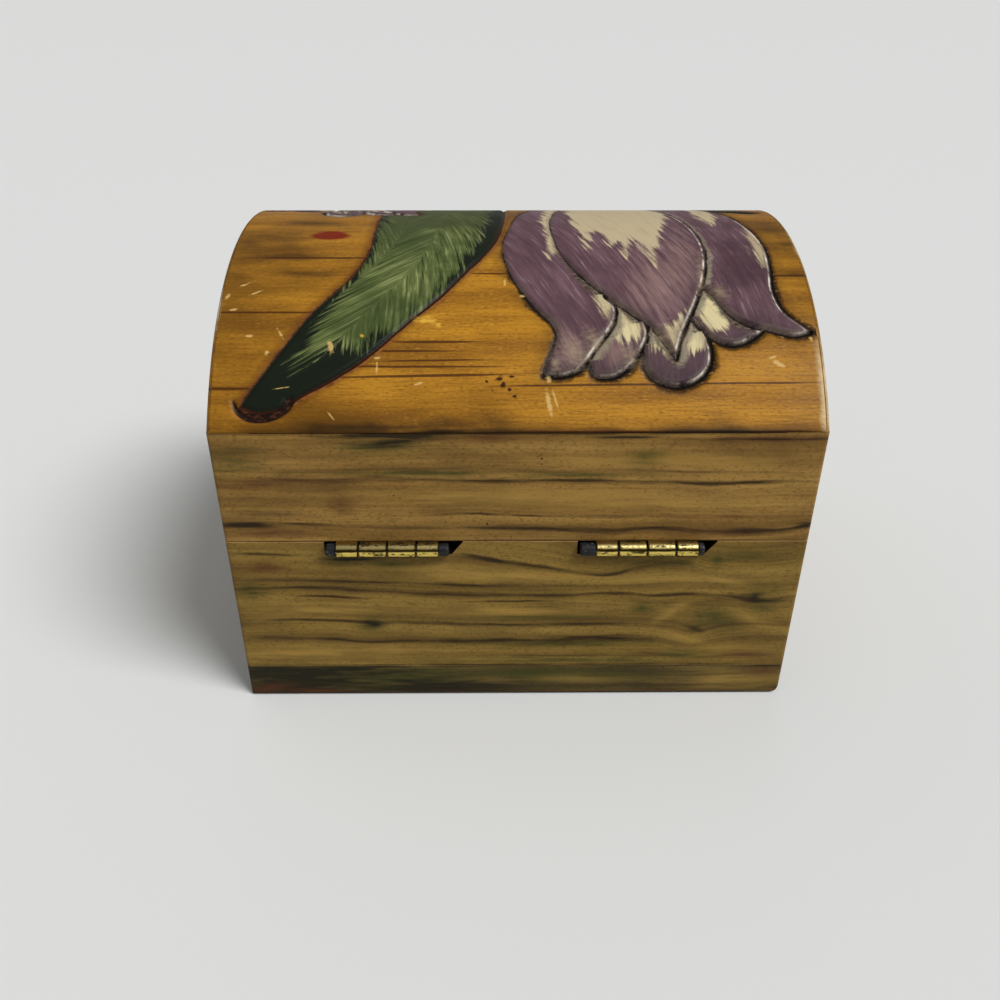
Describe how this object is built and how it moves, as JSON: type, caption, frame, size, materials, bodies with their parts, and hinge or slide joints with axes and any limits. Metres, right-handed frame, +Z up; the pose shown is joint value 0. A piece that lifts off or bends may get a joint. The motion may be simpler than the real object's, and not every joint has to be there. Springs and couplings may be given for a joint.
{
  "type": "trinket box",
  "caption": "Small dome-topped wooden trinket box: a sawn-apart body and lid on brass butt hinges, with a carved and painted flower over the top.",
  "frame": {"origin": "middle of the flat underside, where the box rests on a table", "axes": "+Z up, +X to the right seen from the plain front, front at -Y, hinged back at +Y"},
  "size_m": [0.1, 0.092, 0.0782],
  "materials": {
    "wall_wood": "brown varnish, worn satin",
    "bottom_wood": "dark brown varnish with green runs",
    "top_wood": "honey varnish over carved and painted wood, semi-gloss",
    "hinge_brass": "rolled brass, rubbed",
    "pin_steel": "dark, blued",
    "nail_brass": "plain"
  },
  "bodies": {
    "box_body": {"bottom_board": "bottom_wood", "body_front_panel": "wall_wood", "body_back_panel": "wall_wood", "body_left_end": "wall_wood", "body_right_end": "wall_wood", "left_hinge_body_leaf": "hinge_brass", "left_hinge_body_nails": "nail_brass", "left_hinge_pin": "pin_steel", "right_hinge_body_leaf": "hinge_brass", "right_hinge_body_nails": "nail_brass", "right_hinge_pin": "pin_steel"},
    "lid": {"lid_front_rail": "wall_wood", "lid_back_rail": "wall_wood", "lid_left_end": "wall_wood", "lid_right_end": "wall_wood", "lid_domed_top": "top_wood", "left_hinge_lid_leaf": "hinge_brass", "left_hinge_lid_nails": "nail_brass", "right_hinge_lid_leaf": "hinge_brass", "right_hinge_lid_nails": "nail_brass"}
  },
  "joints": [
    {"name": "lid_hinge", "type": "hinge", "parent": "box_body", "child": "lid", "pos_m": [0, 0.0456, 0.03343], "axis": [-1, 0, 0], "range_deg": [0, 160]}
  ]
}
